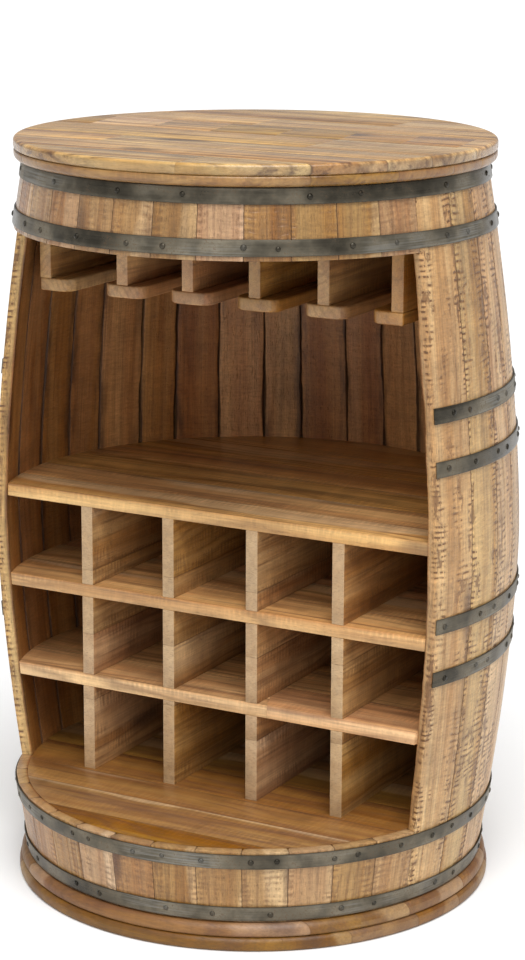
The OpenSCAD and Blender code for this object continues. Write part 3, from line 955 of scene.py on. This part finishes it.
class RACK_OT_hoops(bpy.types.Operator):
    """Makes the eight iron hoops; a full hoop laps over itself at the back"""
    bl_idname = "wine_rack.hoops"
    bl_label = "Iron hoops"

    def execute(self, context):
        barrel, iron = context.scene.rack_barrel, context.scene.rack_iron
        for k, low, high, full, span in hoop_runs(barrel):
            start = LAP_START if full else FRONT + barrel.opening_half + HOOP_END
            span += LAP_ANGLE if full else 0.0
            values = wall_values(barrel)
            values.update({
                "Start angle": start, "End angle": start + span, "Low": low.z, "High": high.z,
                "Offset": HOOP_GAP, "Thickness": iron.hoop_thickness,
                "Columns": int(span / HOOP_COLUMN), "Rows": 5, "Surface wave": HOOP_WAVE,
                "Lap angle": LAP_ANGLE if full else 0.0, "Seed": 5.0 * k, "Tone": 0.0,
                "Run": 1.0, "Material": finish_of("hoop_iron")})
            name = f"iron_hoop_{k + 1}"
            mesh = rounded(name, grown_mesh(name, "wall_strip", values), HOOP_ARRIS)
            add_piece(name, mesh, "hoop_iron", f"hoop_{k + 1}")
        return {"FINISHED"}


class RACK_OT_nails(bpy.types.Operator):
    """Makes the nail heads along the hoops"""
    bl_idname = "wine_rack.nails"
    bl_label = "Nails"

    def execute(self, context):
        barrel, iron = context.scene.rack_barrel, context.scene.rack_iron
        rows = {True: [], False: []}
        first = FRONT + barrel.opening_half
        for k, low, high, full, span in hoop_runs(barrel):
            height = (low.z + high.z) / 2
            wall = barrel.belly_radius - barrel.draw_in * (
                abs(height - barrel.belly_height) / BOW_REACH) ** barrel.bow_power
            values = wall_values(barrel)
            values.update({
                "Count": round(span * wall / NAIL_PITCH / NAIL_SHARE[k]),
                "Start angle": first + (0.0 if full else HOOP_END), "Span": span,
                "Hoop height": height, "Offset": HOOP_GAP + iron.hoop_thickness,
                "Nail radius": iron.nail_radius, "Nail height": iron.nail_height,
                "Row": float(k), "Lap start": LAP_START if full else NO_LAP,
                "Lap end": LAP_START + LAP_ANGLE if full else NO_LAP,
                "Lap lift": iron.hoop_thickness,
                "Material": finish_of("nail_iron")})
            rows[full].append(grown_mesh(f"nail_row_{k + 1}", "nail_row", values))
        for full, name, node in ((True, "full_hoop_nails", "nails_full_hoops"),
                                 (False, "side_hoop_nails", "nails_side_hoops")):
            add_piece(name, joined_mesh(name, rows[full]), "nail_iron", node)
        return {"FINISHED"}


def listed(sides):
    return [Strip(a * MM, b * MM) for a, b in zip(sides, sides[1:])]


class RACK_OT_table_top(bpy.types.Operator):
    """Makes the round table top and the moulding under it"""
    bl_idname = "wine_rack.table_top"
    bl_label = "Table top"

    def execute(self, context):
        strips = listed((-320, -236, -160, -96, 0, 97, 172, 250, 320))
        ends = {0: (0.06,), 2: (-0.14,), 3: (0.12,), 5: (-0.06,), 6: (0.11,)}
        for k, stops in ends.items():
            strips[k].ends = stops
        strips[4].ends = tuple(x * MM for x in (-262, -170, -78, 20, 112, 200, 278))
        strips[4].skew = 0.16
        mesh = plank_piece("table_top_planks", "table_top", X, Y, strips, 11, FINE_ARRIS)
        add_piece("table_top_planks", mesh, "top_wood", "table_top")
        strips = strips_of(-0.32, 0.32, 0.085, 12)
        mesh = plank_piece("table_moulding_planks", "table_moulding", X, Y, strips, 12, FINE_ARRIS)
        add_piece("table_moulding_planks", mesh, "moulding_wood", "table_moulding")
        return {"FINISHED"}


class RACK_OT_plinth(bpy.types.Operator):
    """Makes the two stepped boards of the plinth"""
    bl_idname = "wine_rack.plinth"
    bl_label = "Plinth"

    def execute(self, context):
        for node, seed in (("plinth_upper", 21), ("plinth_base", 22)):
            name = node + "_planks"
            strips = strips_of(-0.33, 0.33, 0.11, seed)
            mesh = plank_piece(name, node, X, Y, strips, seed, FINE_ARRIS)
            add_piece(name, mesh, "moulding_wood", node, look="plinth_wood")
        return {"FINISHED"}


class RACK_OT_inner_boards(bpy.types.Operator):
    """Makes the floor, the ceiling, the counter and the bottle shelves"""
    bl_idname = "wine_rack.inner_boards"
    bl_label = "Floor, ceiling and shelves"

    def execute(self, context):
        floor = listed((-350, -262, -188, -128, -50, 30, 110, 190, 270, 350))
        counter = listed((-130, -62, 8, 92, 160, 236, 350))
        upper = listed((-130, -48, 36, 120, 205, 350))
        lower = listed((-130, -40, 44, 130, 215, 350))
        lower[0].ends, lower[0].skew = (0.072,), 0.4
        ceiling = strips_of(-0.35, 0.35, 0.09, 31)
        for node, name, strips, seed, arris, look in (
                ("floor_board", "floor_planks", floor, 32, BOARD_ARRIS, "floor_wood"),
                # The ceiling gets the darker finish: painted shade.
                ("ceiling_board", "ceiling_planks", ceiling, 33, BOARD_ARRIS, "ceiling_wood"),
                ("counter_shelf", "counter_planks", counter, 34, WORN_ARRIS, "shelf_wood"),
                ("upper_bottle_shelf", "upper_shelf_planks", upper, 35, WORN_ARRIS, "shelf_wood"),
                ("lower_bottle_shelf", "lower_shelf_planks", lower, 36, WORN_ARRIS, "shelf_wood")):
            mesh = plank_piece(name, node, X, Y, strips, seed, arris)
            add_piece(name, mesh, "board_wood", node, look=look)
        return {"FINISHED"}


class RACK_OT_dividers(bpy.types.Operator):
    """Makes the four upright dividers of the bottle grid"""
    bl_idname = "wine_rack.dividers"
    bl_label = "Dividers"

    def execute(self, context):
        for k in range(4):
            node, name = f"divider_{k + 1}", f"divider_planks_{k + 1}"
            low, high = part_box(node)
            strips = strips_of(low.z, high.z, 0.105, 41 + k)
            mesh = plank_piece(name, node, Y, Z, strips, 51 + k, DIVIDER_ARRIS)
            add_piece(name, mesh, "divider_wood", node)
        return {"FINISHED"}


class RACK_OT_rails(bpy.types.Operator):
    """Makes the webs and flanges of the six glass rails"""
    bl_idname = "wine_rack.rails"
    bl_label = "Glass rails"

    def execute(self, context):
        for k in range(6):
            for node, name, across, arris in (
                    (f"rail_web_{k + 1}", f"rail_web_board_{k + 1}", Z, WORN_ARRIS),
                    (f"rail_flange_{k + 1}", f"rail_flange_board_{k + 1}", X, FLANGE_ARRIS)):
                mesh = plank_piece(name, node, Y, across, [Strip(-WHOLE, WHOLE)], 61 + k, arris)
                add_piece(name, mesh, "rail_wood", node)
        return {"FINISHED"}


class RACK_OT_stage(bpy.types.Operator):
    """Sets up the floor, the soft light and the camera"""
    bl_idname = "wine_rack.stage"
    bl_label = "Floor, light and camera"

    def execute(self, context):
        scene, stage = context.scene, context.scene.rack_stage
        mesh = bpy.data.meshes.new("studio_floor")
        corners = [(x * FLOOR_REACH, y * FLOOR_REACH, 0)
                   for x, y in ((-1, -1), (1, -1), (1, 1), (-1, 1))]
        mesh.from_pydata(corners, [], [(0, 1, 2, 3)])
        floor = linked("studio_floor", mesh)
        paper = bpy.data.materials.new("pale_floor")
        paper.use_nodes = True
        skin = paper.node_tree.nodes["Principled BSDF"]
        skin.inputs["Base Color"].default_value = rgba(stage.floor_colour)
        skin.inputs["Roughness"].default_value = 0.9
        skin.inputs["Specular IOR Level"].default_value = 0.1
        mesh.materials.append(paper)

        world = bpy.data.worlds.new("studio_room")
        world.use_nodes = True
        room = world.node_tree.nodes["Background"]
        room.inputs["Color"].default_value = (1.0, 1.0, 1.0, 1.0)
        room.inputs["Strength"].default_value = stage.sky_strength
        scene.world = world

        for name, spread, towards in SUNS:
            sun = bpy.data.lights.new("soft_" + name, "SUN")
            sun.energy = getattr(stage, name + "_strength")
            sun.angle = math.radians(spread)
            lamp = linked("soft_" + name, sun)
            aim = Vector(towards).normalized().to_track_quat("Z", "Y")
            lamp.rotation_euler = aim.to_euler()

        camera = bpy.data.cameras.new("camera")
        camera.sensor_width = 36.0
        camera.lens = CAMERA_LENS
        camera.shift_x, camera.shift_y = CAMERA_SHIFT
        camera.dof.use_dof = False
        camera.clip_end = 200.0
        eye = linked("camera", camera)
        turn, pitch, roll = stage.camera_angle, CAMERA_PITCH, CAMERA_ROLL
        back = Vector((math.sin(turn) * math.cos(pitch), -math.cos(turn) * math.cos(pitch),
                       math.sin(pitch)))
        right = Vector((math.cos(turn), math.sin(turn), 0.0))
        up = back.cross(right)
        matrix = Matrix((right, up, back)).transposed().to_4x4() @ Matrix.Rotation(roll, 4, "Z")
        matrix.translation = (stage.camera_distance * math.sin(turn),
                              -stage.camera_distance * math.cos(turn), stage.camera_height)
        eye.matrix_world = matrix
        scene.camera = eye
        scene.view_settings.view_transform = "Standard"
        return {"FINISHED"}


class RACK_PT_panel(bpy.types.Panel):
    """Lists the steps that build the wine rack"""
    bl_idname = "RACK_PT_panel"
    bl_label = "Wine Rack"
    bl_space_type = "VIEW_3D"
    bl_region_type = "UI"
    bl_category = "Wine Rack"

    def draw(self, context):
        layout = self.layout
        for group in ("rack_barrel", "rack_iron", "rack_colours", "rack_stage"):
            settings = getattr(context.scene, group)
            box = layout.box()
            for name in settings.__annotations__:
                box.prop(settings, name)
        for step in STEPS:
            layout.operator(step.bl_idname)


SETTINGS = {"rack_barrel": RackBarrel, "rack_iron": RackIron, "rack_colours": RackColours,
            "rack_stage": RackStage}
STEPS = (RACK_OT_stage, RACK_OT_finishes, RACK_OT_full_staves, RACK_OT_band_staves, RACK_OT_hoops,
         RACK_OT_nails, RACK_OT_table_top, RACK_OT_plinth, RACK_OT_inner_boards,
         RACK_OT_dividers, RACK_OT_rails)


def register():
    for kind in (*SETTINGS.values(), *STEPS, RACK_PT_panel):
        bpy.utils.register_class(kind)
    for name, kind in SETTINGS.items():
        setattr(bpy.types.Scene, name, PointerProperty(type=kind))


def unregister():
    for name in SETTINGS:
        delattr(bpy.types.Scene, name)
    for kind in reversed((*SETTINGS.values(), *STEPS, RACK_PT_panel)):
        bpy.utils.unregister_class(kind)


def main():
    register()
    for step in STEPS:
        family, action = step.bl_idname.split(".")
        getattr(getattr(bpy.ops, family), action)()


if __name__ == "__main__":
    main()
